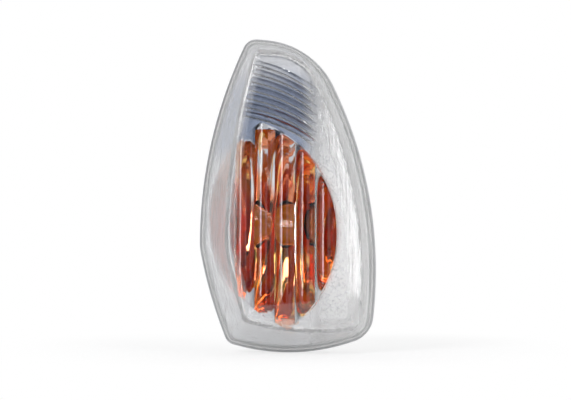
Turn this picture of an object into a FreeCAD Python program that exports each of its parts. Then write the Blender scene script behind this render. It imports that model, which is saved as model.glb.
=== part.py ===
import FreeCAD, Part
import Sketcher
import math
import os

# A clear wedge-domed indicator lamp for a door mirror. Sizes are in millimetres and degrees.
# X runs across the lamp, Z up it, and the lens faces -Y. The origin is the middle of the
# two screw bosses, on the plane of their end faces.

SIZES = {
    # Rim seat, ahead of the boss faces
    "rim_ahead": 24.0,
    # Sides of the outline: centre and radius of each arc
    "right_centre_x": -117.8,
    "right_centre_z": -26.7,
    "right_radius": 148.9,
    "bottom_centre_x": 0.3,
    "bottom_centre_z": 15.1,
    "bottom_radius": 70.4,
    "lower_left_centre_x": 126.9,
    "lower_left_centre_z": 9.2,
    "lower_left_radius": 160.0,
    "upper_left_centre_x": 133.0,
    "upper_left_centre_z": -17.6,
    "upper_left_radius": 163.7,
    "top_centre_x": -18.0,
    "top_centre_z": -44.7,
    "top_radius": 100.0,
    # Rounding of the corners between those sides, how fast an inset takes it away, and its least
    "right_corner_round": 9.0,
    "left_corner_round": 3.5,
    "belly_round": 20.0,
    "peak_round": 4.0,
    "shoulder_round": 28.0,
    "corner_fade": 2.0,
    "corner_floor": 1.5,
    # Lens shell and its curved front; the top wall leans less than the others
    "wall_draft": 30.0,
    "top_draft_share": 0.8,
    "lens_wall": 2.2,
    "crease_round": 2.5,
    "inner_crease_round": 1.6,
    "front_apex_x": -25.0,
    "front_apex_z": -20.0,
    "front_depth": 19.0,
    "front_radius_across": 117.0,
    "front_radius_up": 260.0,
    "barrel_half_width": 66.0,
    "barrel_thick": 60.0,
    # Upright flutes inside the window, and how far the window stands inside the bowl's edge
    "flute_first_x": -13.1,
    "flute_pitch": 7.2,
    "flute_radius": 6.5,
    "window_inset": 0.5,
    # Curved ridges inside the upper field: where they cross its middle, their slant there,
    # and how far the plane of each leans out of the front
    "ridge_middle_x": -2.0,
    "ridge_first_z": 25.5,
    "ridge_pitch": 3.1,
    "ridge_radius": 1.4,
    "ridge_proud": 0.6,
    "ridge_slant": 20.0,
    "ridge_lean": 65.0,
    # Tongue of the lens, its groove in the housing and the bead of sealant under it
    "tongue_inset": 0.9,
    "tongue_thick": 1.0,
    "tongue_long": 1.6,
    "tongue_root": 0.5,
    "groove_clear": 0.15,
    "seal_thick": 1.0,
    # Reflector: a plate behind the lens and a fluted melon-shaped bowl around the bulb
    "plate_thick": 1.2,
    "plate_clear": 0.4,
    "bowl_left_x": -25.5,
    "bowl_z": -10.5,
    "bowl_tilt": 8.0,
    "bowl_half_width": 22.0,
    "bowl_half_height": 37.0,
    "bowl_axis_ahead": 6.0,
    "bowl_wall": 2.2,
    "gore_end_radius": 3.0,
    "gore_depth": 0.9,
    "bulb_hole_radius": 8.6,
    # Housing
    "flange_thick": 4.0,
    "flange_lip": 0.4,
    "shell_gap": 0.6,
    "shell_wall": 2.0,
    "rib_inset": 3.6,
    "rib_thick": 1.5,
    "rib_high": 2.5,
    "boss_radius": 4.5,
    "boss_half_spacing": 34.0,
    "pilot_radius": 1.7,
    "pilot_deep": 10.0,
    "vent_gap": 1.4,
    "vent_radius": 3.0,
    "vent_bore": 1.5,
    "vent_long": 7.0,
    "vent_cap_wall": 1.6,
    "vent_cap_roof": 2.0,
    "vent_cap_lift": 1.5,
    "hook_long": 13.0,
    "hook_thick": 2.0,
    "hook_wide": 9.0,
    "hook_tip": 1.0,
    "hook_barb": 1.6,
    "barb_long": 5.2,
    "barb_heel": 0.65,
    "right_hook_x": 24.5,
    "right_hook_z": -12.0,
    "left_hook_x": -17.5,
    "left_hook_z": 35.0,
    # Twist-in bulb holder and its socket
    "socket_stand": 7.2,
    "socket_deep": 7.0,
    "socket_wall": 2.6,
    "ring_thick": 3.0,
    "nose_radius": 11.0,
    "nose_long": 9.0,
    "run_clear": 0.08,
    "lug_reach": 1.9,
    "lug_wide": 6.0,
    "lug_thick": 2.0,
    "lug_clear": 0.1,
    "chamber_clear": 1.0,
    "slot_clear": 0.4,
    "twist": 45.0,
    "ring_seal_thick": 1.5,
    "ring_seal_wide": 3.2,
    "holder_flange_radius": 18.0,
    "holder_flange_thick": 3.0,
    "grip_wide": 4.0,
    "grip_high": 6.0,
    "grip_inset": 1.0,
    "plug_wide": 20.0,
    "plug_high": 13.0,
    "plug_long": 16.0,
    "plug_wall": 1.8,
    "plug_floor": 3.0,
    # Wedge-base bulb
    "bulb_radius": 7.5,
    "bulb_long": 37.0,
    "bulb_wall": 0.8,
    "bulb_neck_radius": 5.2,
    "bulb_neck_long": 3.5,
    "wedge_wide": 12.0,
    "wedge_thick": 2.6,
    "wedge_long": 8.5,
    "wedge_inset": 5.0,
    "wedge_clear": 0.3,
    "cup_clear": 0.5,
    "filament_long": 6.0,
    "filament_radius": 0.5,
    "filament_below_tip": 15.0,
    "wire_radius": 0.3,
    "wire_half_spacing": 2.6,
    "wire_return": 5.0,
    "bead_radius": 1.2,
    "bead_long": 7.6,
    "bead_below_filament": 7.0,
    # Contact strips of the holder
    "strip_thick": 0.5,
    "strip_wide": 4.0,
    "strip_x": 3.6,
    "blade_thick": 0.8,
    "blade_wide": 2.8,
    "blade_long": 10.0,
    "strip_clear": 0.1,
    "step_room": 2.0,
    # How far pieces of one moulding run into each other, and cuts run past a face
    "run_in": 1.0,
}
FLUTES = 5
RIDGES = 7
GORES = 8
BOWL_CUTS = 7
LUGS = 3
# Turns in degrees: where a ridge starts to the left of its middle, and how far it goes
RIDGE_LEAD = 28.0
RIDGE_SWEEP = 44.0
BARREL_SWEEP = 60.0
QUARTER_TURN = 90.0
HALF_TURN = 180.0
FULL_TURN = 360.0
# Edge of a box that is larger than the lamp
SPACE = 200.0
SIDES = ("right", "bottom", "lower_left", "upper_left", "top")
CORNERS = ("right_corner", "left_corner", "belly", "peak", "shoulder")
X_AXIS = FreeCAD.Vector(1, 0, 0)
Y_AXIS = FreeCAD.Vector(0, 1, 0)
BACKWARD = FreeCAD.Rotation(X_AXIS, -QUARTER_TURN)
SIDEWAYS = FreeCAD.Rotation(Y_AXIS, QUARTER_TURN)

# Formulas over the sizes that several pieces share
WALL_BASE = "sizes.lens_wall / cos(sizes.wall_draft)"
GROOVE_FLOOR = "sizes.tongue_long + sizes.seal_thick"
BOWL_X = "(sizes.bowl_left_x + sizes.bowl_half_width)"
BOWL_PLACE = (BOWL_X, "-sizes.bowl_axis_ahead", "sizes.bowl_z")
GORE_ARC = "(sizes.bowl_half_width^2 + sizes.bowl_half_height^2) / (2 * sizes.bowl_half_width)"
GORE_OFFSET = f"{GORE_ARC} - sizes.bowl_half_width"
BOWL_BACK = "sizes.bowl_half_width - sizes.bowl_axis_ahead"
SHELL_INSIDE = "sizes.bowl_wall + sizes.shell_gap"
SHELL_OUTSIDE = f"{SHELL_INSIDE} + sizes.shell_wall"
SHELL_BACK = f"{BOWL_BACK} + {SHELL_OUTSIDE}"
SOCKET_BACK = f"{SHELL_BACK} + sizes.socket_stand"
RING_FRONT = f"{SOCKET_BACK} - sizes.ring_thick"
CHAMBER = "sizes.nose_radius + sizes.lug_reach + sizes.chamber_clear"
FLANGE_FRONT = f"{SOCKET_BACK} + sizes.ring_seal_thick"
FLANGE_BACK = f"{FLANGE_FRONT} + sizes.holder_flange_thick"
VENT_BACK = "sizes.flange_thick + sizes.vent_long"
VENT_X = "-(sizes.boss_radius + sizes.vent_gap + sizes.vent_cap_wall + sizes.vent_radius)"
VENT_Z = "sizes.boss_half_spacing"
FLUTE_PROUD = "(sizes.flute_radius - sqrt(sizes.flute_radius^2 - (sizes.flute_pitch / 2)^2))"
WEDGE_BACK = f"{SOCKET_BACK} + sizes.wedge_inset"
BULB_TIP = f"{WEDGE_BACK} - sizes.bulb_long"
NECK_FRONT = f"{WEDGE_BACK} - sizes.wedge_long - sizes.bulb_neck_long + sizes.run_in"
FILAMENT_Y = f"{BULB_TIP} + sizes.filament_below_tip"
STRIP_LIFT = "sizes.wedge_thick / 2 + 2 * sizes.wire_radius"
STEP_BACK = f"{WEDGE_BACK} + sizes.step_room"
PLUG_FLOOR_BACK = f"{STEP_BACK} + sizes.plug_floor"
PLUG_BACK = f"{FLANGE_BACK} + sizes.plug_long"

doc = FreeCAD.newDocument("indicator_lamp")
sheet = doc.addObject("Spreadsheet::Sheet", "sizes")
for row, (alias, number) in enumerate(SIZES.items(), start=1):
    sheet.set(f"A{row}", alias)
    sheet.set(f"B{row}", str(number))
    sheet.setAlias(f"B{row}", alias)
doc.recompute()


def value(formula):
    """Work out a formula over the sheet's sizes."""
    return float(sheet.evalExpression(formula))


def size(alias):
    return float(sheet.get(alias))


def vector(x, y, z):
    """A point of the lamp; y counts from the rim seat, positive towards the back."""
    return FreeCAD.Vector(x, y - size("rim_ahead"), z)


def bind(thing, **formulas):
    """Tie properties of a thing to formulas over the sheet's sizes."""
    for name, formula in formulas.items():
        thing.setExpression(name, formula)


def put(thing, x="0", y="0", z="0", turn=FreeCAD.Rotation()):
    """Place a thing by formulas; y counts from the rim seat, positive towards the back."""
    thing.Placement = FreeCAD.Placement(FreeCAD.Vector(), turn)
    thing.setExpression("Placement.Base.x", x)
    thing.setExpression("Placement.Base.y", f"({y}) - sizes.rim_ahead")
    thing.setExpression("Placement.Base.z", z)


def cut(name, base, tool):
    result = doc.addObject("Part::Cut", name)
    result.Base = base
    result.Tool = tool
    return result


def common(name, first, second):
    result = doc.addObject("Part::Common", name)
    result.Base = first
    result.Tool = second
    return result


def fuse(name, *things):
    result = doc.addObject("Part::MultiFuse", name)
    result.Shapes = list(things)
    result.Refine = False
    return result


def tangent_centre(centre_a, reach_a, centre_b, reach_b):
    """Centre of a corner arc: at the given distances from two side centres, on the outer side."""
    along = centre_b - centre_a
    apart = along.Length
    foot = (reach_a**2 - reach_b**2 + apart**2) / (2 * apart)
    height = math.sqrt(reach_a**2 - foot**2)
    along.normalize()
    across = FreeCAD.Vector(along.z, 0, -along.x)
    return centre_a + along * foot + across * height


def unit(point):
    return FreeCAD.Vector(point).normalize()


def outline(name, inset, y, shrink=0.0):
    """The lamp's outline, of side arcs joined by tangent corner arcs, drawn in by an inset all
    round and by a shrink that is less along the top."""
    centres = [FreeCAD.Vector(size(f"{side}_centre_x"), 0, size(f"{side}_centre_z")) for side in SIDES]
    radii = []
    for side in SIDES:
        share = size("top_draft_share") if side == "top" else 1.0
        radii.append(size(f"{side}_radius") - inset - shrink * share)
    corners = []
    for k, corner in enumerate(CORNERS):
        after = (k + 1) % len(SIDES)
        faded = size(f"{corner}_round") - (inset + shrink) * size("corner_fade")
        rounding = max(faded, size("corner_floor"))
        middle = tangent_centre(
            centres[k], radii[k] - rounding, centres[after], radii[after] - rounding
        )
        first = unit(middle - centres[k])
        last = unit(middle - centres[after])
        corners.append([middle + way * rounding for way in (first, unit(first + last), last)])
    edges = []
    lift = vector(0, y, 0)
    for k, corner in enumerate(corners):
        after = (k + 1) % len(SIDES)
        edges.append(Part.Arc(*[point + lift for point in corner]))
        start = corner[2]
        end = corners[after][0]
        crown = centres[after] + unit(start + end - centres[after] * 2) * radii[after]
        edges.append(Part.Arc(start + lift, crown + lift, end + lift))
    wire = doc.addObject("Part::Feature", name)
    wire.Shape = Part.Wire([edge.toShape() for edge in edges])
    return wire


def blank(name, inset, back, front, draft=0.0):
    """A solid with the lamp's outline between two depths, drawn in by a draft going forward."""
    shrink = (back - front) * math.tan(math.radians(draft))
    loft = doc.addObject("Part::Loft", name)
    loft.Sections = [
        outline(f"{name}_back", inset, back),
        outline(f"{name}_front", inset, front, shrink),
    ]
    loft.Solid = True
    loft.Ruled = True
    return loft


def sketch_on(body, name, role):
    plane = [feature for feature in body.Origin.OriginFeatures if feature.Role == role][0]
    sketch = body.newObject("Sketcher::SketchObject", name)
    sketch.AttachmentSupport = (plane, "")
    sketch.MapMode = "FlatFace"
    return sketch


def point_sketch(body, name, role, points):
    """A closed sketch of straight lines whose corners are formulas over the sizes."""
    sketch = sketch_on(body, name, role)
    places = [FreeCAD.Vector(value(x), value(y), 0) for x, y in points]
    total = len(points)
    for k in range(total):
        sketch.addGeometry(Part.LineSegment(places[k], places[(k + 1) % total]))
    for k in range(total):
        sketch.addConstraint(Sketcher.Constraint("Coincident", k, 2, (k + 1) % total, 1))
    for k, (x, y) in enumerate(points):
        for kind, place, formula in (("DistanceX", places[k].x, x), ("DistanceY", places[k].y, y)):
            number = sketch.addConstraint(Sketcher.Constraint(kind, -1, 1, k, 1, place))
            sketch.setExpression(f"Constraints[{number}]", formula)
    return sketch


def front_barrel(name, inset):
    """What lies behind the lens's curved front: an arc across it, swept up it in a larger arc."""
    body = doc.addObject("PartDesign::Body", name)
    sketch = sketch_on(body, f"{name}_arc", "XY_Plane")
    across = value(f"sizes.front_radius_across - ({inset})")
    centre = FreeCAD.Vector(0, value("sizes.front_radius_across - sizes.front_radius_up"), 0)
    half = value("sizes.barrel_half_width")
    drop = math.sqrt(across**2 - half**2)
    left = centre + FreeCAD.Vector(-half, -drop, 0)
    right = centre + FreeCAD.Vector(half, -drop, 0)
    crown = centre + FreeCAD.Vector(0, -across, 0)
    back = value("sizes.barrel_thick - sizes.front_radius_up")
    left_back = FreeCAD.Vector(-half, back, 0)
    right_back = FreeCAD.Vector(half, back, 0)
    arc = sketch.addGeometry(Part.Arc(left, crown, right))
    for start, end in ((right, right_back), (right_back, left_back), (left_back, left)):
        sketch.addGeometry(Part.LineSegment(start, end))
    sketch.addConstraint(Sketcher.Constraint("Coincident", arc, 2, 1, 1))
    sketch.addConstraint(Sketcher.Constraint("Coincident", 1, 2, 2, 1))
    sketch.addConstraint(Sketcher.Constraint("Coincident", 2, 2, 3, 1))
    sketch.addConstraint(Sketcher.Constraint("Coincident", 3, 2, arc, 1))
    sketch.addConstraint(Sketcher.Constraint("Vertical", 1))
    sketch.addConstraint(Sketcher.Constraint("Horizontal", 2))
    sketch.addConstraint(Sketcher.Constraint("Vertical", 3))
    sketch.addConstraint(Sketcher.Constraint("PointOnObject", arc, 3, -2))
    for kind, first, place, formula in (
        ("Radius", (arc,), across, f"sizes.front_radius_across - ({inset})"),
        ("DistanceY", (-1, 1, arc, 3), centre.y, "sizes.front_radius_across - sizes.front_radius_up"),
        ("DistanceX", (-1, 1, 1, 2), half, "sizes.barrel_half_width"),
        ("DistanceX", (-1, 1, 3, 1), -half, "-sizes.barrel_half_width"),
        ("DistanceY", (-1, 1, 1, 2), back, "sizes.barrel_thick - sizes.front_radius_up"),
    ):
        number = sketch.addConstraint(Sketcher.Constraint(kind, *first, place))
        sketch.setExpression(f"Constraints[{number}]", formula)
    barrel = body.newObject("PartDesign::Revolution", f"{name}_sweep")
    barrel.Profile = sketch
    barrel.ReferenceAxis = (sketch, ["H_Axis"])
    barrel.Angle = BARREL_SWEEP
    barrel.Midplane = True
    body.Tip = barrel
    put(body, "sizes.front_apex_x", "sizes.front_radius_up - sizes.front_depth", "sizes.front_apex_z")
    return body


def round_front(name, base, radius):
    """Round the crease between the curved front and the walls."""
    doc.recompute()
    picks = []
    for number, edge in enumerate(base.Shape.Edges, start=1):
        faces = base.Shape.ancestorsOfType(edge, Part.Face)
        if len(faces) == 2 and any(isinstance(face.Surface, Part.Toroid) for face in faces):
            picks.append((number, size(radius), size(radius)))
    result = doc.addObject("Part::Fillet", name)
    result.Base = base
    result.Edges = picks
    return result


def dome(name, inset, sink, crease):
    """The lens's drafted walls under its curved front, drawn in by an inset and sunk by a wall."""
    reach = -size("front_depth") - size("run_in")
    walls = blank(f"{name}_walls", value(inset), 0.0, reach, size("wall_draft"))
    trimmed = common(f"{name}_trim", walls, front_barrel(f"{name}_front", sink))
    return round_front(f"{name}_creased", trimmed, crease)


def ring_part(name, along, start, sweep, centre, **sizes):
    """Part of a torus whose turning axis is given, from a start direction over a sweep."""
    ring = doc.addObject("Part::Torus", name)
    bind(ring, **sizes)
    ring.Angle3 = sweep
    put(ring, *centre, turn=FreeCAD.Rotation(start, FreeCAD.Vector(), along, "ZXY"))
    return ring


def lens_flutes():
    """Upright flutes of the window, each following the curve of the front."""
    half = "(sizes.bowl_half_height + abs(sizes.bowl_z - sizes.front_apex_z))"
    reach = math.asin(value(f"{half} / sizes.front_radius_up"))
    start = FreeCAD.Vector(0, -math.cos(reach), math.sin(reach))
    across = "(sizes.front_radius_across - sizes.lens_wall)"
    flutes = []
    for k in range(FLUTES):
        x = f"(sizes.flute_first_x + {k} * sizes.flute_pitch)"
        inner_front = f"sqrt({across}^2 - ({x} - sizes.front_apex_x)^2)"
        flutes.append(ring_part(
            f"lens_flute_{k}",
            X_AXIS,
            start,
            math.degrees(2 * reach),
            (x, "sizes.front_radius_up - sizes.front_depth", "sizes.front_apex_z"),
            Radius1="sizes.front_radius_up - sizes.front_radius_across"
            f" + {inner_front} + sizes.flute_radius - {FLUTE_PROUD}",
            Radius2="sizes.flute_radius",
        ))
    return common("lens_window", fuse("lens_flutes", *flutes), window_space())


def window_space():
    """All that lies ahead of the rim seat inside the bowl's edge, which is two arcs between its poles."""
    arc = value(f"{GORE_ARC} - sizes.window_inset")
    offset = value(GORE_OFFSET)
    pole = math.sqrt(arc**2 - offset**2)
    low = FreeCAD.Vector(0, 0, -pole)
    high = FreeCAD.Vector(0, 0, pole)
    sides = [Part.Arc(low, FreeCAD.Vector(way * (arc - offset), 0, 0), high).toShape() for way in (-1, 1)]
    wire = doc.addObject("Part::Feature", "window_edge")
    wire.Shape = Part.Wire(sides)
    wire.Placement = FreeCAD.Placement(vector(value(BOWL_X), 0, size("bowl_z")), bowl_turn())
    space = doc.addObject("Part::Extrusion", "window_space")
    space.Base = wire
    space.DirMode = "Custom"
    space.Dir = -Y_AXIS
    space.Solid = True
    bind(space, LengthFwd="2 * sizes.front_depth")
    return space


def lens_ridges():
    """Curved ridges of the upper field: circles that lie in the front's inside, in leaning planes."""
    across = value("sizes.front_radius_across - sizes.lens_wall + sizes.ridge_radius - sizes.ridge_proud")
    back = value("sizes.front_radius_up - sizes.front_radius_across")
    axis_y = value("sizes.front_radius_up - sizes.front_depth")
    axis = FreeCAD.Vector(size("front_apex_x"), axis_y, size("front_apex_z"))
    side = math.asin(value("sizes.ridge_middle_x - sizes.front_apex_x") / across)
    slant = math.radians(size("ridge_slant"))
    lean = math.radians(size("ridge_lean"))
    lead = math.radians(RIDGE_LEAD)
    # Radius of the front along a ridge, and of the circle that a leaning plane cuts from it
    along_front = 1 / (math.cos(slant)**2 / across + math.sin(slant)**2 / (back + across))
    radius = along_front * math.cos(lean)
    ridges = []
    for k in range(RIDGES):
        height = value(f"sizes.ridge_first_z + {k} * sizes.ridge_pitch - sizes.front_apex_z")
        climb = math.asin(height / (back + across * math.cos(side)))
        out = FreeCAD.Vector(0, -math.cos(climb), math.sin(climb))
        rise = FreeCAD.Vector(0, math.sin(climb), math.cos(climb))
        normal = out * math.cos(side) + X_AXIS * math.sin(side)
        level = X_AXIS * math.cos(side) - out * math.sin(side)
        run = level * math.cos(slant) - rise * math.sin(slant)
        crest = rise * math.cos(slant) + level * math.sin(slant)
        reach = normal * math.cos(lean) + crest * math.sin(lean)
        centre = axis + out * back + normal * across - reach * radius
        ridges.append(ring_part(
            f"lens_ridge_{k}",
            reach.cross(run),
            reach * math.cos(lead) - run * math.sin(lead),
            RIDGE_SWEEP,
            [str(number) for number in centre],
            Radius1=str(radius),
            Radius2="sizes.ridge_radius",
        ))
    return ridges


def outline_ring(name, inset, thick, back, front):
    """A ring that follows the outline."""
    spare = size("run_in")
    whole = blank(f"{name}_whole", inset, back, front)
    core = blank(f"{name}_core", inset + thick, back + spare, front - spare)
    return cut(name, whole, core)


def lens():
    outer = dome("lens_outer", "0", "0", "crease_round")
    inner = dome("lens_inner", WALL_BASE, "sizes.lens_wall", "inner_crease_round")
    hollow = cut("lens_hollow", inner, fuse("lens_optics", lens_flutes(), *lens_ridges()))
    shell = cut("lens_shell", outer, hollow)
    tongue = outline_ring(
        "lens_tongue", size("tongue_inset"), size("tongue_thick"), size("tongue_long"), -size("tongue_root")
    )
    return fuse("lens", shell, tongue)


def seal():
    """Bead of sealant between the bottom of the housing's groove and the lens's tongue."""
    inset = value("sizes.tongue_inset - sizes.groove_clear")
    thick = value("sizes.tongue_thick + 2 * sizes.groove_clear")
    return outline_ring("lens_seal", inset, thick, value(GROOVE_FLOOR), size("tongue_long"))


def melon(name, grow):
    """A body of revolution with pointed poles: the bowl's inside, grown by a wall."""
    body = doc.addObject("PartDesign::Body", name)
    sketch = sketch_on(body, f"{name}_half", "XZ_Plane")
    radius = value(f"{GORE_ARC} + ({grow})")
    centre = FreeCAD.Vector(-value(GORE_OFFSET), 0, 0)
    pole = math.sqrt(radius**2 - centre.x**2)
    low = FreeCAD.Vector(0, -pole, 0)
    high = FreeCAD.Vector(0, pole, 0)
    arc = sketch.addGeometry(Part.Arc(low, centre + FreeCAD.Vector(radius, 0, 0), high))
    line = sketch.addGeometry(Part.LineSegment(high, low))
    sketch.addConstraint(Sketcher.Constraint("Coincident", arc, 2, line, 1))
    sketch.addConstraint(Sketcher.Constraint("Coincident", line, 2, arc, 1))
    sketch.addConstraint(Sketcher.Constraint("PointOnObject", arc, 3, -1))
    sketch.addConstraint(Sketcher.Constraint("PointOnObject", line, 1, -2))
    sketch.addConstraint(Sketcher.Constraint("PointOnObject", line, 2, -2))
    for kind, target, place, formula in (
        ("Radius", (arc,), radius, f"{GORE_ARC} + ({grow})"),
        ("DistanceX", (-1, 1, arc, 3), centre.x, f"-({GORE_OFFSET})"),
    ):
        number = sketch.addConstraint(Sketcher.Constraint(kind, *target, place))
        sketch.setExpression(f"Constraints[{number}]", formula)
    turned = body.newObject("PartDesign::Revolution", f"{name}_turned")
    turned.Profile = sketch
    turned.ReferenceAxis = (sketch, ["V_Axis"])
    turned.Angle = FULL_TURN
    body.Tip = turned
    put(body, *BOWL_PLACE, turn=bowl_turn())
    return body


def bowl_turn():
    return FreeCAD.Rotation(Y_AXIS, -size("bowl_tilt"))


def behind(name, base, y):
    """The part of a base that lies behind a depth."""
    box = doc.addObject("Part::Box", f"{name}_space")
    bind(box, Length=f"{SPACE}", Width=f"{SPACE}", Height=f"{SPACE}")
    put(box, f"-{SPACE} / 2", y, f"-{SPACE} / 2")
    return common(name, base, box)


def rod(name, radius, front, back, x=BOWL_X, z="sizes.bowl_z"):
    """A cylinder along the depth of the lamp, between two depths."""
    cylinder = doc.addObject("Part::Cylinder", name)
    bind(cylinder, Radius=radius, Height=f"({back}) - ({front})")
    put(cylinder, x, front, z, turn=BACKWARD)
    return cylinder


def block(name, wide, front, back, high, x=BOWL_X, z="sizes.bowl_z"):
    """A box centred across and up, between two depths."""
    box = doc.addObject("Part::Box", name)
    bind(box, Length=wide, Width=f"({back}) - ({front})", Height=high)
    put(box, f"{x} - ({wide}) / 2", front, f"{z} - ({high}) / 2")
    return box


def scalloped_half(name, level):
    """Level cut through the bowl's hollow: a half disc with scalloped edge, as a wire."""
    arc = value(GORE_ARC)
    inner = arc * math.cos(level) - value(GORE_OFFSET)
    height = arc * math.sin(level)
    share = inner / size("bowl_half_width")
    place = FreeCAD.Placement(vector(*[value(formula) for formula in BOWL_PLACE]), bowl_turn())

    def rim(turn, reach):
        return place.multVec(FreeCAD.Vector(math.cos(turn) * reach, math.sin(turn) * reach, height))

    step = math.pi / GORES
    edges = []
    for k in range(GORES):
        crown = rim((k + 0.5) * step, inner + size("gore_depth") * share)
        edges.append(Part.Arc(rim(k * step, inner), crown, rim((k + 1) * step, inner)).toShape())
    edges.append(Part.LineSegment(rim(math.pi, inner), rim(0, inner)).toShape())
    wire = doc.addObject("Part::Feature", name)
    wire.Shape = Part.Wire(edges)
    return wire


def bowl_hollow():
    """Hollow of the bowl: gores that run from pole to pole, lofted through level cuts."""
    loft = doc.addObject("Part::Loft", "bowl_hollow")
    span = math.acos(value(f"(({GORE_OFFSET}) + sizes.gore_end_radius) / ({GORE_ARC})"))
    cuts = []
    for k in range(BOWL_CUTS):
        level = span * (2 * k / (BOWL_CUTS - 1) - 1)
        cuts.append(scalloped_half(f"bowl_cut_{k}", level))
    loft.Sections = cuts
    loft.Solid = True
    return loft


def reflector():
    inset = value(f"{WALL_BASE} + sizes.plate_clear")
    plate = blank("reflector_plate", inset, 0.0, -size("plate_thick"), size("wall_draft"))
    bowl = behind("reflector_bowl", melon("bowl_outside", "sizes.bowl_wall"), "-sizes.plate_thick / 2")
    body = cut("reflector_body", fuse("reflector_solid", plate, bowl), bowl_hollow())
    hole_back = f"{BOWL_BACK} + sizes.bowl_wall + sizes.run_in"
    return cut("reflector", body, rod("bulb_hole", "sizes.bulb_hole_radius", "0", hole_back))


def hook(name, outward):
    """A springy tongue with a barb, moulded on the back of the flange."""
    body = doc.addObject("PartDesign::Body", name)
    sketch = point_sketch(body, f"{name}_profile", "XY_Plane", [
        ("0", "0"),
        (f"{outward} * sizes.hook_thick", "0"),
        (f"{outward} * sizes.hook_thick", "sizes.hook_long - sizes.barb_long"),
        (
            f"{outward} * (sizes.hook_thick + sizes.hook_barb)",
            "sizes.hook_long - sizes.barb_long + sizes.barb_heel",
        ),
        (f"{outward} * sizes.hook_tip", "sizes.hook_long"),
        ("0", "sizes.hook_long"),
    ])
    pad = body.newObject("PartDesign::Pad", f"{name}_pad")
    pad.Profile = sketch
    pad.Midplane = True
    pad.setExpression("Length", "sizes.hook_wide")
    body.Tip = pad
    side = "right" if outward > 0 else "left"
    put(body, f"sizes.{side}_hook_x", "sizes.flange_thick - sizes.tongue_root", f"sizes.{side}_hook_z")
    return body


def lug(name, clear, front, back, turn):
    """One bayonet lug, or the slot that lets it through."""
    box = doc.addObject("Part::Box", name)
    bind(
        box,
        Length=f"sizes.nose_radius + sizes.lug_reach + ({clear})",
        Width=f"({back}) - ({front})",
        Height=f"sizes.lug_wide + 2 * ({clear})",
    )
    twist = FreeCAD.Rotation(Y_AXIS, turn)
    shift = twist.multVec(FreeCAD.Vector(0, 0, -value(f"sizes.lug_wide / 2 + ({clear})")))
    put(box, f"{BOWL_X} + {shift.x}", front, f"sizes.bowl_z + {shift.z}", turn=twist)
    return box


def housing():
    flange = blank("housing_flange", -size("flange_lip"), size("flange_thick"), 0.0)
    rib_back = value("sizes.flange_thick + sizes.rib_high")
    rib = outline_ring("housing_rib", size("rib_inset"), size("rib_thick"), rib_back, size("run_in"))
    shell = behind("housing_shell", melon("housing_outside", SHELL_OUTSIDE), "sizes.run_in")
    socket_front = f"{SHELL_BACK} - sizes.socket_deep"
    socket = rod("housing_socket", f"{CHAMBER} + sizes.socket_wall", socket_front, SOCKET_BACK)
    bosses = []
    pilots = []
    for name, way in (("lower", -1), ("upper", 1)):
        z = f"{way} * sizes.boss_half_spacing"
        bosses.append(rod(f"{name}_boss", "sizes.boss_radius", "sizes.run_in", "sizes.rim_ahead", "0", z))
        pilot_front = "sizes.rim_ahead - sizes.pilot_deep"
        pilot_back = "sizes.rim_ahead + sizes.run_in"
        pilots.append(rod(f"{name}_pilot", "sizes.pilot_radius", pilot_front, pilot_back, "0", z))
    spigot = rod("vent_spigot", "sizes.vent_radius", "sizes.run_in", VENT_BACK, VENT_X, VENT_Z)
    vent_end = f"{VENT_BACK} + sizes.run_in"
    vent = rod("vent_hole", "sizes.vent_bore", "-sizes.run_in", vent_end, VENT_X, VENT_Z)
    hooks = [hook("right_hook", 1), hook("left_hook", -1)]
    solid = fuse("housing_solid", flange, rib, shell, socket, spigot, *bosses, *hooks)
    groove = outline_ring(
        "housing_groove",
        value("sizes.tongue_inset - sizes.groove_clear"),
        value("sizes.tongue_thick + 2 * sizes.groove_clear"),
        value(GROOVE_FLOOR),
        -size("run_in"),
    )
    chamber = rod("socket_chamber", CHAMBER, socket_front, RING_FRONT)
    ring_start = f"{RING_FRONT} - sizes.run_in"
    ring_end = f"{SOCKET_BACK} + sizes.run_in"
    bore = rod("socket_bore", "sizes.nose_radius + sizes.run_clear", ring_start, ring_end)
    slots = []
    for k in range(LUGS):
        turn = FULL_TURN * k / LUGS + size("twist")
        slots.append(lug(f"lug_slot_{k}", "sizes.slot_clear", ring_start, ring_end, turn))
    inside = melon("housing_inside", SHELL_INSIDE)
    hollows = fuse("housing_hollows", groove, chamber, bore, vent, inside, *pilots, *slots)
    return cut("housing", solid, hollows)


def vent_cap():
    """Soft cap pushed over the vent spigot."""
    outside = rod(
        "vent_cap_outside",
        "sizes.vent_radius + sizes.vent_cap_wall",
        "sizes.flange_thick + sizes.vent_cap_lift",
        f"{VENT_BACK} + sizes.vent_cap_roof",
        VENT_X,
        VENT_Z,
    )
    inside = rod("vent_cap_inside", "sizes.vent_radius", "sizes.flange_thick", VENT_BACK, VENT_X, VENT_Z)
    return cut("vent_cap", outside, inside)


def bulb_envelope(name, inset):
    """Round-ended tube with a tapered neck, drawn in by an inset."""
    tip = f"{BULB_TIP} + ({inset})"
    crown = f"{BULB_TIP} + sizes.bulb_radius"
    radius = f"sizes.bulb_radius - ({inset})"
    dome_end = doc.addObject("Part::Sphere", f"{name}_dome")
    bind(dome_end, Radius=radius)
    put(dome_end, BOWL_X, crown, "sizes.bowl_z", turn=BACKWARD)
    tube = rod(f"{name}_tube", radius, crown, NECK_FRONT)
    neck = doc.addObject("Part::Cone", f"{name}_neck")
    bind(
        neck,
        Radius1=radius,
        Radius2=f"sizes.bulb_neck_radius - ({inset})",
        Height=f"sizes.bulb_neck_long - ({inset})",
    )
    put(neck, BOWL_X, NECK_FRONT, "sizes.bowl_z", turn=BACKWARD)
    return fuse(name, dome_end, tube, neck)


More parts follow.
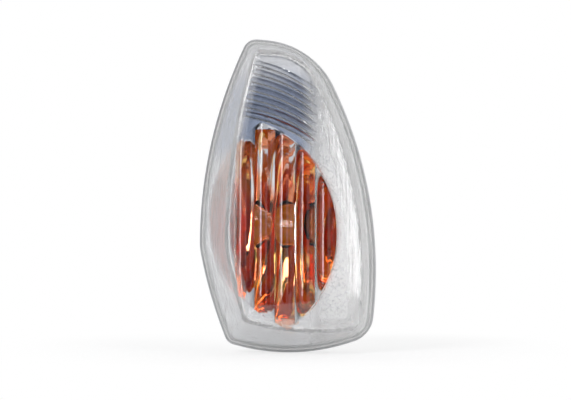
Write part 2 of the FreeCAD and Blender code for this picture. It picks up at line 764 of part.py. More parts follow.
def lead_wire(name, way):
    """From one end of the filament through the pinch, and back along a face of the wedge."""
    x = f"{BOWL_X} + {way} * sizes.wire_half_spacing"
    bend = "(sizes.wedge_thick / 4 + sizes.wire_radius / 2)"
    inner = rod(f"{name}_run", "sizes.wire_radius", FILAMENT_Y, WEDGE_BACK, x)
    z = f"sizes.bowl_z + {way} * 2 * {bend}"
    return_front = f"{WEDGE_BACK} - sizes.wire_return"
    outer = rod(f"{name}_return", "sizes.wire_radius", return_front, WEDGE_BACK, x, z)
    turn = ring_part(
        f"{name}_bend",
        X_AXIS * way,
        FreeCAD.Vector(0, 0, -way),
        HALF_TURN,
        (x, WEDGE_BACK, f"sizes.bowl_z + {way} * {bend}"),
        Radius1=bend,
        Radius2="sizes.wire_radius",
    )
    return fuse(name, inner, turn, outer)


def crossbar(name, radius, long, y):
    """A bar across the bulb, at a depth."""
    bar = doc.addObject("Part::Cylinder", name)
    bind(bar, Radius=radius, Height=long)
    put(bar, f"{BOWL_X} - {long} / 2", y, "sizes.bowl_z", turn=SIDEWAYS)
    return bar


def bulb():
    wires = {name: lead_wire(name, way) for name, way in (("bulb_wire_left", -1), ("bulb_wire_right", 1))}
    wedge_front = f"{WEDGE_BACK} - sizes.wedge_long"
    wedge = block("bulb_wedge", "sizes.wedge_wide", wedge_front, WEDGE_BACK, "sizes.wedge_thick")
    outside = fuse("bulb_outside", bulb_envelope("bulb_skin", "0"), wedge)
    blown = cut("bulb_blown", outside, bulb_envelope("bulb_hollow", "sizes.bulb_wall"))
    glass = cut("bulb_glass", blown, fuse("bulb_wire_holes", *wires.values()))
    coil = crossbar("bulb_coil", "sizes.filament_radius", "sizes.filament_long", FILAMENT_Y)
    filament = cut("bulb_filament", coil, fuse("filament_grips", *wires.values()))
    bead_y = f"{FILAMENT_Y} + sizes.bead_below_filament"
    bar = crossbar("bulb_bead_bar", "sizes.bead_radius", "sizes.bead_long", bead_y)
    bead = cut("bulb_bead", bar, fuse("bead_holes", *wires.values()))
    return {"bulb_glass": glass, "bulb_filament": filament, "bulb_bead": bead, **wires}


def contact(name, way, clear="0"):
    """A strip that presses on one face of the wedge and ends in a terminal blade."""
    strip_x = f"{BOWL_X} + {way} * sizes.strip_x"
    lift = f"{STRIP_LIFT} + sizes.strip_thick / 2"
    strip = block(
        f"{name}_strip",
        f"sizes.strip_wide + 2 * ({clear})",
        f"{WEDGE_BACK} - sizes.wedge_long + sizes.run_in",
        f"{STEP_BACK} + ({clear})",
        f"sizes.strip_thick + 2 * ({clear})",
        strip_x,
        f"sizes.bowl_z + {way} * ({lift})",
    )
    step_high = f"{lift} + sizes.blade_thick / 2 + sizes.strip_thick / 2"
    step = block(
        f"{name}_step",
        f"sizes.blade_wide + 2 * ({clear})",
        f"{STEP_BACK} - sizes.strip_thick - ({clear})",
        f"{STEP_BACK} + ({clear})",
        f"{step_high} + 2 * ({clear})",
        strip_x,
        f"sizes.bowl_z + {way} * (({step_high}) / 2 - sizes.blade_thick / 2)",
    )
    blade = block(
        f"{name}_blade",
        f"sizes.blade_wide + 2 * ({clear})",
        f"{STEP_BACK} - sizes.strip_thick",
        f"{PLUG_FLOOR_BACK} + sizes.blade_long",
        f"sizes.blade_thick + 2 * ({clear})",
        strip_x,
    )
    return fuse(name, strip, step, blade)


def holder():
    nose_front = f"{SOCKET_BACK} - sizes.nose_long"
    nose = rod("holder_nose", "sizes.nose_radius", nose_front, f"{FLANGE_FRONT} + sizes.run_in")
    lugs = []
    lug_back = f"{RING_FRONT} - sizes.lug_clear"
    lug_front = f"{lug_back} - sizes.lug_thick"
    for k in range(LUGS):
        lugs.append(lug(f"holder_lug_{k}", "0", lug_front, lug_back, FULL_TURN * k / LUGS))
    flange = rod("holder_flange", "sizes.holder_flange_radius", FLANGE_FRONT, FLANGE_BACK)
    grip = block(
        "holder_grip",
        "2 * (sizes.holder_flange_radius - sizes.grip_inset)",
        f"{FLANGE_BACK} - sizes.run_in",
        f"{FLANGE_BACK} + sizes.grip_high",
        "sizes.grip_wide",
    )
    plug_front = f"{FLANGE_BACK} - sizes.run_in"
    plug = block("holder_plug", "sizes.plug_wide", plug_front, PLUG_BACK, "sizes.plug_high")
    solid = fuse("holder_solid", nose, flange, grip, plug, *lugs)
    cup = rod(
        "holder_cup",
        "sizes.bulb_radius + sizes.cup_clear",
        f"{nose_front} - sizes.run_in",
        f"{NECK_FRONT} + sizes.bulb_neck_long + sizes.cup_clear",
    )
    wedge_room = block(
        "wedge_room",
        "sizes.wedge_wide + 2 * sizes.wedge_clear",
        nose_front,
        STEP_BACK,
        f"2 * ({STRIP_LIFT} + sizes.strip_thick + sizes.strip_clear)",
    )
    mouth = block(
        "plug_mouth",
        "sizes.plug_wide - 2 * sizes.plug_wall",
        PLUG_FLOOR_BACK,
        f"{PLUG_BACK} + sizes.run_in",
        "sizes.plug_high - 2 * sizes.plug_wall",
    )
    rooms = [
        contact("left_contact_room", -1, "sizes.strip_clear"),
        contact("right_contact_room", 1, "sizes.strip_clear"),
    ]
    return cut("bulb_holder", solid, fuse("holder_hollows", cup, wedge_room, mouth, *rooms))


def holder_seal():
    """Soft ring between the holder's flange and the end of the socket."""
    inside = "sizes.nose_radius + sizes.run_clear"
    outside = rod("holder_seal_outside", f"{inside} + sizes.ring_seal_wide", SOCKET_BACK, FLANGE_FRONT)
    hole_front = f"{SOCKET_BACK} - sizes.run_in"
    hole = rod("holder_seal_hole", inside, hole_front, f"{FLANGE_FRONT} + sizes.run_in")
    return cut("holder_seal", outside, hole)


parts = {
    "lens": lens(),
    "lens_seal": seal(),
    "reflector": reflector(),
    "housing": housing(),
    "vent_cap": vent_cap(),
    **bulb(),
    "bulb_holder": holder(),
    "holder_seal": holder_seal(),
    "contact_left": contact("contact_left", -1),
    "contact_right": contact("contact_right", 1),
}
doc.recompute()

failed = [thing.Name for thing in doc.Objects if {"Invalid", "Error"} & set(thing.State)]
if failed:
    raise RuntimeError(f"features failed: {failed}")
for name, thing in parts.items():
    thing.Label = name
    if thing.Shape.isNull() or not thing.Shape.isValid() or len(thing.Shape.Solids) != 1:
        raise RuntimeError(f"bad solid: {name}")

os.makedirs("parts", exist_ok=True)
for name, thing in parts.items():
    thing.Shape.exportStep(f"parts/{name}.step")
    print(name, round(thing.Shape.Volume, 1), "mm3")
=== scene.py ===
# %% [markdown]
# This is a side indicator lamp from the mirror of a van: a clear lens with optics moulded inside it, a
# bright fluted bowl behind, and an amber bulb on a twist-in holder. The solids come from the packed
# frame and are already in place, in metres. The lesson gives them their finishes, adds the wound
# filament that is too fine for a solid, and sets up a plain studio.

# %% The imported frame
import bpy
import bmesh
import math
from mathutils import Matrix, Vector


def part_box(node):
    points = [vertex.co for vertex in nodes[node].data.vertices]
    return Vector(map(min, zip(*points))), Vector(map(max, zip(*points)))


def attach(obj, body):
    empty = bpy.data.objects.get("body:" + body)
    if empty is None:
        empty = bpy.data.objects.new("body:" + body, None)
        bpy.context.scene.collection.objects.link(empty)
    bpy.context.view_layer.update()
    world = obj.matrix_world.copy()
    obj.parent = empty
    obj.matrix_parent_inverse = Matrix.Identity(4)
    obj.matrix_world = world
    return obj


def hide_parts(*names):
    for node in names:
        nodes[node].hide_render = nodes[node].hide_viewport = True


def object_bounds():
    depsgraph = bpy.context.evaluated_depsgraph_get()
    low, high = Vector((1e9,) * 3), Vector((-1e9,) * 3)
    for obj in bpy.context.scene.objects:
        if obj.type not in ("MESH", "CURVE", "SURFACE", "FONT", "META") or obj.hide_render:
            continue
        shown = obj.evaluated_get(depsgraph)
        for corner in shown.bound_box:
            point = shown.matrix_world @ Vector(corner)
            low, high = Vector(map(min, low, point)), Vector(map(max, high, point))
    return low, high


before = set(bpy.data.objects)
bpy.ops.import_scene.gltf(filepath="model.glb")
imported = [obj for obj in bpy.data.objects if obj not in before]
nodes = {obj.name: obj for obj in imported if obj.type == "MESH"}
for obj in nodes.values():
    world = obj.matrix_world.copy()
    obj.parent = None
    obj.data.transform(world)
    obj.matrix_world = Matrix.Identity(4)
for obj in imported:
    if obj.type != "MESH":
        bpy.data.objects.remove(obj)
cad_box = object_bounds()
MM = 0.001
print("solids:", ", ".join(sorted(nodes)))
print("size in mm:", [round((high - low) / MM, 1) for low, high in zip(*cad_box)])

# %% [markdown]
# Every finish is a network of shader nodes. Wiring them one by one is long to read, so a small class
# stands for the number that leaves a socket. Plain arithmetic on it adds Math nodes, also when the plain
# number comes first, as in 1 - mask.

# %% Numbers that change over a surface


class Signal:
    """What leaves a socket. Arithmetic on it adds Math nodes."""

    def __init__(self, shading, socket):
        self.shading = shading
        self.socket = socket

    def math(self, operation, *values):
        return self.shading.node("ShaderNodeMath", {"operation": operation}, dict(enumerate(values)))

    def __add__(self, other):
        return self.math("ADD", self, other)

    def __radd__(self, other):
        return self.math("ADD", other, self)

    def __sub__(self, other):
        return self.math("SUBTRACT", self, other)

    def __rsub__(self, other):
        return self.math("SUBTRACT", other, self)

    def __mul__(self, other):
        return self.math("MULTIPLY", self, other)

    def __rmul__(self, other):
        return self.math("MULTIPLY", other, self)

    def root(self):
        return self.math("SQRT", self)

    def smaller(self, other):
        return self.math("MINIMUM", self, other)

    def larger(self, other):
        return self.math("MAXIMUM", self, other)

    def step(self, start, end):
        """A soft step: 0 up to start and 1 from end on."""
        inputs = {"Value": self, "From Min": start, "From Max": end}
        return self.shading.node("ShaderNodeMapRange", {"interpolation_type": "SMOOTHSTEP"}, inputs)


print("a signal can be added, multiplied and stepped")

# %% [markdown]
# All other nodes come from one method, which sets a node's settings before its sockets, because some
# settings change which sockets there are. Positions are read in Object coordinates. The solids sit at
# the origin, so these are the lamp's own metres, and a pattern stays put when a part moves.

# %% Networks of nodes


class Shading:
    """The nodes of a material or of the world, while they are being made."""

    def __init__(self, owner):
        self.owner = owner
        owner.use_nodes = True
        self.tree = owner.node_tree
        self.tree.nodes.clear()

    def node(self, kind, settings=None, inputs=None, output=0):
        """Makes a node: settings first, then the values or links of its sockets."""
        made = self.tree.nodes.new(kind)
        for name, setting in (settings or {}).items():
            setattr(made, name, setting)
        for name, given in (inputs or {}).items():
            if isinstance(given, Signal):
                self.tree.links.new(given.socket, made.inputs[name])
            else:
                made.inputs[name].default_value = given
        return Signal(self, made.outputs[output]) if made.outputs else made

    def parts(self, vector):
        """The three numbers of a vector."""
        return [self.node("ShaderNodeSeparateXYZ", None, {"Vector": vector}, axis) for axis in "XYZ"]

    def point(self):
        return self.node("ShaderNodeTexCoord", output="Object")

    def noise(self, size, detail=2.0):
        """Soft random spots from 0 to 1. Size is their width along each axis, in metres."""
        scale = {"Vector": self.point(), "Scale": [1 / width for width in size]}
        spots = {"Vector": self.node("ShaderNodeMapping", None, scale), "Scale": 1.0, "Detail": detail}
        return self.node("ShaderNodeTexNoise", None, spots)

    def blend(self, share, first, second):
        """A colour that goes from first to second as share goes from 0 to 1."""
        sockets = {"Factor": share, 6: first, 7: second}
        return self.node("ShaderNodeMix", {"data_type": "RGBA"}, sockets, 2)

    def bump(self, height, depth):
        """A relief of the given depth in metres."""
        return self.node("ShaderNodeBump", None, {"Height": height, "Distance": depth})

    def shader(self, **inputs):
        """The surface shader. An underscore in a name stands for a space."""
        sockets = {name.replace("_", " "): given for name, given in inputs.items()}
        return self.node("ShaderNodeBsdfPrincipled", None, sockets)

    def glow(self, colour, strength):
        return self.node("ShaderNodeEmission", None, {"Color": colour, "Strength": strength})

    def mixed(self, share, first, second):
        """A surface that goes from the first shader to the second as share goes from 0 to 1."""
        return self.node("ShaderNodeMixShader", None, {0: share, 1: first, 2: second})

    def surface(self, shader):
        """Ends the network and returns the material."""
        self.node("ShaderNodeOutputMaterial", None, {"Surface": shader})
        return self.owner


def finish_named(name):
    return Shading(bpy.data.materials.new(name))


print("a shading makes any node from its type, settings and sockets")

# %% [markdown]
# Two zones of the lamp come back in several finishes. The first is the mouth of the bowl: a lens shape
# between two arcs that meet in its poles, leaning to the left at the top. Its distance is counted from
# its edge, below zero inside the mouth.

# %% Distance from the mouth of the bowl
BOWL_MIDDLE = Vector((-3.5, 0, -10.5)) * MM
BOWL_LEAN = math.radians(8)
BOWL_HALF_WIDTH = 22 * MM
BOWL_HALF_HEIGHT = 37 * MM
BOWL_AXIS_AHEAD = 6 * MM
BOWL_ARC = (BOWL_HALF_WIDTH**2 + BOWL_HALF_HEIGHT**2) / (2 * BOWL_HALF_WIDTH)
ARC_OFFSET = BOWL_ARC - BOWL_HALF_WIDTH
MOUTH_ARC = math.sqrt(BOWL_ARC**2 - BOWL_AXIS_AHEAD**2)


def mouth_distance(shading):
    x, y, z = shading.parts(shading.point())
    across = x - BOWL_MIDDLE.x
    up = z - BOWL_MIDDLE.z
    sideways = across * math.cos(BOWL_LEAN) + up * math.sin(BOWL_LEAN)
    upwards = up * math.cos(BOWL_LEAN) - across * math.sin(BOWL_LEAN)
    beyond = sideways.math("ABSOLUTE", sideways) + ARC_OFFSET
    return (beyond * beyond + upwards * upwards).root() - MOUTH_ARC


print("mouth half height in mm:", round(math.sqrt(MOUTH_ARC**2 - ARC_OFFSET**2) / MM, 1))

# %% [markdown]
# The second zone is the leaning wall round the lens. The lamp's outline is five arcs, and the wall draws
# in as it comes forward, so the nearest arc, less that draft, gives the distance from the wall's outside:
# 0 on it, 2.2 mm on its inside, and more over the front.

# %% Distance from the wall of the lens
RIM_Y = -24 * MM
WALL_DRAFT = math.radians(30)
# Centre across and up, and radius, of each side in mm, and its share of the draft
SIDES = (
    (-117.8, -26.7, 148.9, 1.0),
    (0.3, 15.1, 70.4, 1.0),
    (126.9, 9.2, 160.0, 1.0),
    (133.0, -17.6, 163.7, 1.0),
    (-18.0, -44.7, 100.0, 0.8),
)


def wall_distance(shading):
    x, y, z = shading.parts(shading.point())
    ahead = RIM_Y - y
    nearest = None
    for centre_x, centre_z, radius, share in SIDES:
        across = x - centre_x * MM
        up = z - centre_z * MM
        drawn_in = ahead * (math.tan(WALL_DRAFT) * share)
        inside = radius * MM - (across * across + up * up).root() - drawn_in
        nearest = inside if nearest is None else nearest.smaller(inside)
    return nearest * math.cos(WALL_DRAFT)


print("sides of the outline:", len(SIDES))

# %% [markdown]
# The lens is one clear moulding, but its mould was finished in three ways. Over the bowl and the upper
# field it was polished, so the bulb and the flutes show through. To the right of the bowl it was
# spark-eroded, which leaves a grain. The walls were drawn out of the mould, which leaves fine upright
# streaks. Masks from the two distances keep it one piece, as it is moulded.

# %% The zones of the lens
WALL_EDGE = (2.6 * MM, 3.8 * MM)
MOUTH_EDGE = (0.0, 0.6 * MM)
FIELD = (4 * MM, 16 * MM)


def lens_zones(lens):
    """Masks of the streaked walls and of the grained field."""
    x, y, z = lens.parts(lens.point())
    wall = 1 - wall_distance(lens).step(*WALL_EDGE)
    eroded = mouth_distance(lens).step(*MOUTH_EDGE) * x.step(*FIELD) * (1 - wall)
    return wall, eroded


print("grained field from x in mm:", [round(edge / MM) for edge in FIELD])

# %% [markdown]
# Grain and streaks do two things to clear plastic. They bend what shows through, which is a relief on
# the glass, and they scatter some light straight back, which makes these zones pale. No glass shader gives
# that paleness by itself, so a share of the surface is a plain white haze, thinner in the spots and lines.
# The roughness stays low and the relief does the rest, because the picture is cleaned of noise
# differently above a roughness of about 0.27, and a mask that crosses it leaves a seam.

# %% The lens
CLEAR = (0.985, 0.985, 0.985, 1)
SPECKLED = (0.74, 0.75, 0.77, 1)
HAZE = (0.96, 0.96, 0.96, 1)
POLISHED = 0.02
STREAKED = 0.09
ERODED = 0.25
HAZE_ROUGHNESS = 0.6
LENS_IOR = 1.585
GRAIN_WIDTH = 0.8 * MM
STREAK_SIZE = (0.9 * MM, 0.9 * MM, 18 * MM)
SPOT_LEVELS = (0.5, 0.62)
LINE_LEVELS = (0.45, 0.62)
LINE_TINT = 0.3
RELIEF = 0.1 * MM
GRAIN_RELIEF = 1.6
STREAK_RELIEF = 1.5
FIELD_HAZE, HAZE_LOST_IN_SPOTS = 0.34, 0.12
WALL_HAZE, HAZE_LOST_IN_LINES = 0.2, 0.1


def lens_finish():
    lens = finish_named("clear_lens")
    wall, eroded = lens_zones(lens)
    grain = lens.noise([GRAIN_WIDTH] * 3, 1.0)
    streaks = lens.noise(STREAK_SIZE, 3.0)
    spots = grain.step(*SPOT_LEVELS)
    lines = streaks.step(*LINE_LEVELS)
    glass = lens.shader(
        Base_Color=lens.blend(spots * eroded + lines * wall * LINE_TINT, CLEAR, SPECKLED),
        Roughness=POLISHED + wall * (STREAKED - POLISHED) + eroded * (ERODED - POLISHED),
        IOR=LENS_IOR,
        Transmission_Weight=1.0,
        Normal=lens.bump(grain * eroded * GRAIN_RELIEF + streaks * wall * STREAK_RELIEF, RELIEF),
    )
    haze = lens.shader(Base_Color=HAZE, Roughness=HAZE_ROUGHNESS)
    field_haze = eroded * (FIELD_HAZE - spots * HAZE_LOST_IN_SPOTS)
    wall_haze = wall * (WALL_HAZE - lines * HAZE_LOST_IN_LINES)
    return lens.surface(lens.mixed(field_haze + wall_haze, glass, haze))


finishes = {"clear_lens": lens_finish()}
print("lens nodes:", len(finishes["clear_lens"].node_tree.nodes))

# %% [markdown]
# The reflector is a white moulding with aluminium vapour on its front. In the bowl the vapour is a
# mirror, and a slow cloud in its roughness stands for an uneven coat. Behind the grained field it was
# masked off, and the bare moulding shows white. Above the bowl the plate mirrors the dim room, and a
# slate colour painted into the coat there is a painted reflection of that room. The masks use the mouth
# and the field of the lens, so the edges meet.

# %% The zones of the bright coat
COAT_EDGE = (-0.3 * MM, 0.3 * MM)
PAINTED_SLATE_FROM = (10 * MM, 18 * MM)
PAINTED_SLATE_TO = (36 * MM, 46 * MM)


def coat_zones(coat):
    """Masks of the plate round the bowl, of its bare part and of its part with the painted slate
    reflection.
    """
    x, y, z = coat.parts(coat.point())
    plate = mouth_distance(coat).step(*COAT_EDGE)
    right = x.step(*FIELD)
    slate = plate * z.step(*PAINTED_SLATE_FROM) * (1 - z.step(*PAINTED_SLATE_TO)) * (1 - right)
    return plate, plate * right, slate


print("slate field in mm:", round(PAINTED_SLATE_FROM[0] / MM), "to", round(PAINTED_SLATE_TO[1] / MM))

# %% [markdown]
# The amber bulb fills the lower bowl with its colour, many times mirrored. Few rays can follow that many
# mirrors through a lens, so that reflection is painted into the coat's colour there: a painted reflection,
# deep amber on the left and yellower on the right, in soft patches, up to a slanting line. It is painted
# into the metal's colour, so the coat still mirrors.

# %% The bright coat, with its painted reflections
COAT_DULL = (0.82, 0.84, 0.88, 1)
COAT_BRIGHT = (0.9, 0.91, 0.93, 1)
# Slate colour painted on the plate above the bowl as a reflection of the dim room
PAINTED_ROOM_REFLECTION = (0.36, 0.42, 0.55, 1)
BARE_WHITE = (0.93, 0.93, 0.93, 1)
# Deep and yellow amber painted in the lower bowl as a reflection of the bulb
DEEP_AMBER_REFLECTION = (0.85, 0.2, 0.012, 1)
YELLOW_AMBER_REFLECTION = (1.0, 0.5, 0.02, 1)
CLOUD_WIDTH = 9 * MM
PATCH_WIDTH = 7 * MM
PATCH_DRIFT = 10
PATCH_LEVELS = (0.45, 0.62)
AMBER_SLOPE = 0.75
AMBER_TOP = (9 * MM, 17 * MM)
PAINTED_AMBER_SHARE = 0.85
MIRROR_ROUGHNESS, MORE_ON_PLATE, MORE_WHERE_BARE, MORE_IN_CLOUD = 0.04, 0.1, 0.36, 0.03


def mirror_finish():
    coat = finish_named("metallised")
    x, y, z = coat.parts(coat.point())
    plate, bare, slate = coat_zones(coat)
    cloud = coat.noise([CLOUD_WIDTH] * 3, 3.0)
    bright = coat.blend(cloud, COAT_DULL, COAT_BRIGHT)
    # Painted reflection of the dim room: a slate colour on the plate above the bowl
    bright = coat.blend(slate, bright, PAINTED_ROOM_REFLECTION)
    # Painted reflection of the amber bulb: amber patches over the lower bowl, up to a slanting line
    patches = (coat.noise([PATCH_WIDTH] * 3) + x * PATCH_DRIFT).step(*PATCH_LEVELS)
    amber = coat.blend(patches, DEEP_AMBER_REFLECTION, YELLOW_AMBER_REFLECTION)
    painted_amber_mask = (1 - plate) * (1 - (z - x * AMBER_SLOPE).step(*AMBER_TOP))
    coat_and_painted_reflections = coat.blend(painted_amber_mask * PAINTED_AMBER_SHARE, bright, amber)
    return coat.surface(coat.shader(
        Base_Color=coat.blend(bare, coat_and_painted_reflections, BARE_WHITE),
        Metallic=1 - bare,
        Roughness=(
            MIRROR_ROUGHNESS + plate * MORE_ON_PLATE + bare * MORE_WHERE_BARE + cloud * MORE_IN_CLOUD
        ),
    ))


finishes["metallised"] = mirror_finish()
print("coat nodes:", len(finishes["metallised"].node_tree.nodes))

# %% [markdown]
# The bulb is coloured in the glass itself, a deep amber, so that the clear lamp flashes orange. Glass
# that only lets light through would look thin from outside, so a share of it is plain colour, and the
# base colour drifts a little, as blown glass does where it is thicker. The bead that holds the lead wires
# apart is clear glass with a cloud in it.

# %% Amber glass and the clear bead
GLASS_IOR = 1.5
GLASS_CLOUD = 0.04


def glass_finish(name, thin, thick, spots, roughness, transmission):
    glass = finish_named(name)
    cloud = glass.noise([spots] * 3)
    return glass.surface(glass.shader(
        Base_Color=glass.blend(cloud, thick, thin),
        Roughness=roughness + cloud * GLASS_CLOUD,
        IOR=GLASS_IOR,
        Transmission_Weight=transmission,
    ))


# Colour where thin and where thick, width of the drift, roughness, and share that lets light through
GLASSES = {
    "amber_glass": ((1.0, 0.34, 0.0, 1), (1.0, 0.17, 0.0, 1), 5 * MM, 0.02, 0.6),
    "bead_glass": ((0.88, 0.92, 0.9, 1), (0.75, 0.8, 0.78, 1), 0.8 * MM, 0.15, 0.8),
}
for slot, look in GLASSES.items():
    finishes[slot] = glass_finish(slot, *look)
print("glasses:", ", ".join(GLASSES))

# %% [markdown]
# The housing, the sealant, the rubber and the holder are mouldings too. They differ in colour and gloss,
# but all show the same two things up close: a fine grain from the mould and a slight cloud in the colour.
# The lens stands on the housing's flange and on the sealant, face on face. A ray that comes through the
# lens can then start just inside them and would find black, so their inside glows in their own colour,
# which no ray from outside ever meets.

# %% Plastic and rubber
MOULD_CLOUD = 12 * MM
GRAIN_GLOSS = 0.2
INSIDE_GLOW = 0.8


def moulded_finish(name, dark, light, roughness, grain_width, grain_depth):
    moulding = finish_named(name)
    cloud = moulding.noise([MOULD_CLOUD] * 3, 3.0)
    grain = moulding.noise([grain_width] * 3)
    outside = moulding.shader(
        Base_Color=moulding.blend(cloud, dark, light),
        Roughness=roughness + (grain - 0.5) * GRAIN_GLOSS,
        Normal=moulding.bump(grain, grain_depth),
    )
    back = moulding.node("ShaderNodeNewGeometry", output="Backfacing")
    return moulding.surface(moulding.mixed(back, outside, moulding.glow(light, INSIDE_GLOW)))


# Dark and light colour, roughness, and width and depth of the grain
MOULDINGS = {
    "housing_grey": ((0.46, 0.463, 0.47, 1), (0.52, 0.523, 0.53, 1), 0.6, 0.35 * MM, 0.03 * MM),
    "sealant": ((0.7, 0.7, 0.7, 1), (0.78, 0.78, 0.78, 1), 0.8, 0.6 * MM, 0.03 * MM),
    "vent_rubber": ((0.025, 0.025, 0.027, 1), (0.045, 0.045, 0.047, 1), 0.75, 0.3 * MM, 0.02 * MM),
    "holder_black": ((0.022, 0.022, 0.024, 1), (0.04, 0.04, 0.043, 1), 0.45, 0.3 * MM, 0.02 * MM),
    "seal_rubber": ((0.16, 0.05, 0.03, 1), (0.22, 0.07, 0.04, 1), 0.7, 0.3 * MM, 0.02 * MM),
}
for slot, look in MOULDINGS.items():
    finishes[slot] = moulded_finish(slot, *look)
print("mouldings:", ", ".join(MOULDINGS))

# %% [markdown]
# The contacts are brass strip, rolled, so their colour and gloss vary in fine lines along the strip. The
# filament and its lead wires are tungsten, darkened in patches by the heat of the coil. One function
# makes both: only the shape of the noise differs.

# %% Bare metal
METAL_GLOSS = 0.2


def metal_finish(name, dark, light, roughness, spots):
    metal = finish_named(name)
    cloud = metal.noise(spots, 4.0)
    return metal.surface(metal.shader(
        Base_Color=metal.blend(cloud, dark, light),
        Metallic=1.0,
        Roughness=roughness + (cloud - 0.5) * METAL_GLOSS,
    ))


HEAT_PATCHES = [1.5 * MM] * 3
ROLLED_LINES = (0.3 * MM, 6 * MM, 0.3 * MM)
# Dark and light colour, roughness, and size of what varies
METALS = {
    "tungsten": ((0.22, 0.21, 0.2, 1), (0.42, 0.4, 0.38, 1), 0.35, HEAT_PATCHES),
    "contact_brass": ((0.62, 0.47, 0.22, 1), (0.78, 0.62, 0.32, 1), 0.3, ROLLED_LINES),
}
for slot, look in METALS.items():
    finishes[slot] = metal_finish(slot, *look)
print("metals:", ", ".join(METALS), "- finishes in all:", len(finishes))

# %% [markdown]
# The shapes of the solids are right as they are, so each keeps its mesh and only takes its finish.

# %% Finishes on the solids
FINISH_OF = {
    "lens": "clear_lens",
    "lens_seal": "sealant",
    "reflector": "metallised",
    "housing": "housing_grey",
    "vent_cap": "vent_rubber",
    "bulb_glass": "amber_glass",
    "bulb_filament": "tungsten",
    "bulb_bead": "bead_glass",
    "bulb_wire_left": "tungsten",
    "bulb_wire_right": "tungsten",
    "bulb_holder": "holder_black",
    "holder_seal": "seal_rubber",
    "contact_left": "contact_brass",
    "contact_right": "contact_brass",
}
for name, slot in FINISH_OF.items():
    nodes[name].data.materials.clear()
    nodes[name].data.materials.append(finishes[slot])
print("dressed solids:", len(FINISH_OF))

# %% [markdown]
# The filament is a wire wound into a coil between the two lead wires. Its solid is a plain bar of the
# same length and width. A helix could be a curve with a bevel, but a ring that is spun while it steps
# sideways gives the same coil as a closed mesh, with its ends filled.

# %% The filament coil
COIL_TURNS = 14
STEPS_A_TURN = 16
WIRE_RADIUS = 0.1 * MM
WIRE_SIDES = 8


def into_object(shape, name):
    bmesh.ops.recalc_face_normals(shape, faces=shape.faces)
    mesh = bpy.data.meshes.new(name)
    shape.to_mesh(mesh)
    shape.free()
    mesh.shade_smooth()
    piece = bpy.data.objects.new(name, mesh)
    bpy.context.scene.collection.objects.link(piece)
    return piece


def filament_coil():
    low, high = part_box("bulb_filament")
    middle = (low + high) / 2
    length = high.x - low.x - 2 * WIRE_RADIUS
    steps = COIL_TURNS * STEPS_A_TURN
    start = Vector((low.x + WIRE_RADIUS, middle.y, high.z - WIRE_RADIUS))
    on_edge = Matrix.Translation(start) @ Matrix.Rotation(math.radians(90), 4, "X")
    coil = bmesh.new()
    bmesh.ops.create_circle(coil, segments=WIRE_SIDES, radius=WIRE_RADIUS, matrix=on_edge)
    bmesh.ops.spin(
        coil,
        geom=coil.verts[:] + coil.edges[:],
        cent=middle,
        axis=(1, 0, 0),
        dvec=(length / steps, 0, 0),
        angle=COIL_TURNS * 2 * math.pi,
        steps=steps,
    )
    ends = [edge for edge in coil.edges if edge.is_boundary]
    bmesh.ops.holes_fill(coil, edges=ends)
    return into_object(coil, "filament_coil")


coil = filament_coil()
coil.data.materials.append(finishes["tungsten"])
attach(coil, "holder")
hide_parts("bulb_filament")
print("coil faces:", len(coil.data.polygons))

# %% [markdown]
# The camera stands where the photograph was taken from: almost straight in front, a little to the right
# and hardly above the lamp, far enough away that upright lines stay upright. The lens of the camera
# follows from how many millimetres of the lamp one pixel holds.

# %% The camera
FRAME_PIXELS = 571
MM_PER_PIXEL = 0.355
VIEW_SIDE = math.radians(4.5)
VIEW_RISE = math.radians(0.5)
VIEW_DISTANCE = 0.9
VIEW_MIDDLE = Vector((-0.5, -24, -1.6)) * MM

scene = bpy.context.scene
scene.view_settings.view_transform = "Standard"


def studio_camera():
    data = bpy.data.cameras.new("camera")
    data.lens = data.sensor_width * VIEW_DISTANCE / (FRAME_PIXELS * MM_PER_PIXEL * MM)
    camera = bpy.data.objects.new("camera", data)
    level = math.cos(VIEW_RISE)
    away = Vector((math.sin(VIEW_SIDE) * level, -math.cos(VIEW_SIDE) * level, math.sin(VIEW_RISE)))
    camera.location = VIEW_MIDDLE + away * VIEW_DISTANCE
    camera.rotation_euler = away.to_track_quat("Z", "Y").to_euler()
    scene.collection.objects.link(camera)
    scene.camera = camera
    return data.lens


print("camera lens in mm:", round(studio_camera()))

# %% [markdown]
# Clear and bright things show what stands around them, so the lamp stands in a white tent. Its front is
# open to the room, which is slate blue, with a dark part on the right. A pale card stands low in the
# opening, straight in front. The opening gives the bowl its dark streaks and the upper field its blue,
# the card gives the flutes their pale lines, and both keep white glare off the front. The camera itself
# sees plain white, which is the background.

# %% The tent
TENT_WHITE = (1.0, 1.0, 1.0, 1)
CARD_PALE = (0.95, 0.95, 0.97, 1)
ROOM_SLATE = (0.07, 0.09, 0.135, 1)
ROOM_DARK = (0.02, 0.02, 0.025, 1)
# Soft edges in degrees, turned to the right of straight ahead or raised above level
CARD_TURN, CARD_HEIGHT = ((-28, -16), (8, 16)), (8, 16)
SLATE_TURN, SLATE_HEIGHT = ((-62, -48), (30, 50)), (56, 76)
DARK_TURN, DARK_RISE = ((2, 9), (42, 56)), ((-44, -26), (45, 65))


def past(angle, edge):
    return angle.step(*[math.radians(degrees) for degrees in edge])


def between(angle, edges):
    return past(angle, edges[0]) * (1 - past(angle, edges[1]))


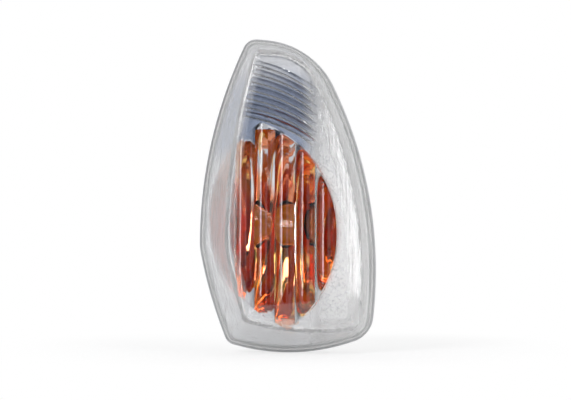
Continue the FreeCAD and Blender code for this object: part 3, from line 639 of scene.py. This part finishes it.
def studio_world():
    tent = Shading(bpy.data.worlds.new("studio"))
    x, y, z = tent.parts(tent.node("ShaderNodeTexCoord", output="Generated"))
    turn = x.math("ARCTAN2", x, 0 - y)
    rise = z.math("ARCSINE", z)
    height = rise.math("ABSOLUTE", rise)
    slate = between(turn, SLATE_TURN) * (1 - past(height, SLATE_HEIGHT))
    card = between(turn, CARD_TURN) * (1 - past(height, CARD_HEIGHT))
    dark = between(turn, DARK_TURN) * between(rise, DARK_RISE)
    around = tent.blend(slate, TENT_WHITE, ROOM_SLATE)
    around = tent.blend(card, around, CARD_PALE)
    around = tent.blend(dark, around, ROOM_DARK)
    seen = tent.node("ShaderNodeLightPath", output="Is Camera Ray")
    backdrop = tent.node("ShaderNodeBackground", None, {"Color": tent.blend(seen, around, TENT_WHITE)})
    tent.node("ShaderNodeOutputWorld", None, {"Surface": backdrop})
    return tent.owner


scene.world = studio_world()
print("world nodes:", len(scene.world.node_tree.nodes))

# %% [markdown]
# Two soft boxes shape the light: one high on the left, and a tall one on the right, turned so far that
# its mirror image falls on the grained field, which it brightens, and not on the polished front.

# %% Soft boxes
# Place in metres, width, height and power in watts
SOFT_BOXES = {
    "key": ((-0.7, -0.9, 0.8), 0.5, 0.5, 8),
    "fill": ((0.86, -0.74, 0.12), 0.34, 0.7, 6.5),
}


def soft_box(name, place, width, height, power):
    data = bpy.data.lights.new(name, "AREA")
    data.shape = "RECTANGLE"
    data.size = width
    data.size_y = height
    data.energy = power
    lamp = bpy.data.objects.new(name, data)
    lamp.location = place
    lamp.rotation_euler = (lamp.location - VIEW_MIDDLE).to_track_quat("Z", "Y").to_euler()
    scene.collection.objects.link(lamp)


for name, look in SOFT_BOXES.items():
    soft_box(name, *look)
print("soft boxes:", ", ".join(SOFT_BOXES))

# %% [markdown]
# The floor is a plain pale sheet under the lamp's lowest point. Close to the lamp part of it is lit as
# any sheet is and takes a soft shadow; further off, and in what glass and metal see of it, it fades into
# the tent's white. It is small, because a wide one would lie as a veil over the front of the lens.

# %% The floor
FLOOR_HALF = 0.13
FLOOR_FADE = (0.05, 0.12)
FLOOR_CLOUD = 0.05
FLOOR_ROUGHNESS = 0.9
PALE = (0.86, 0.86, 0.86, 1)
PALER = (0.9, 0.9, 0.9, 1)
NEAR_SHARE = 0.7
SEEN_BY = ("Is Camera Ray", "Is Glossy Ray", "Is Transmission Ray")


def floor_finish():
    paint = finish_named("floor")
    x, y, z = paint.parts(paint.point())
    far = (x * x + y * y).root().step(*FLOOR_FADE)
    camera, glossy, through = [paint.node("ShaderNodeLightPath", output=kind) for kind in SEEN_BY]
    seen = camera.larger(glossy).larger(through)
    colour = paint.blend(paint.noise([FLOOR_CLOUD] * 3), PALE, PALER)
    lit = paint.shader(Base_Color=colour, Roughness=FLOOR_ROUGHNESS)
    share = seen * (NEAR_SHARE + far * (1 - NEAR_SHARE))
    return paint.surface(paint.mixed(share, lit, paint.glow(TENT_WHITE, 1.0)))


sheet = bmesh.new()
lowest = cad_box[0][2]
under_lamp = Matrix.Translation((0, 0, lowest))
bmesh.ops.create_grid(sheet, x_segments=1, y_segments=1, size=FLOOR_HALF, matrix=under_lamp)
floor = into_object(sheet, "floor")
floor.data.materials.append(floor_finish())
print("floor height in mm:", round(lowest / MM, 1))
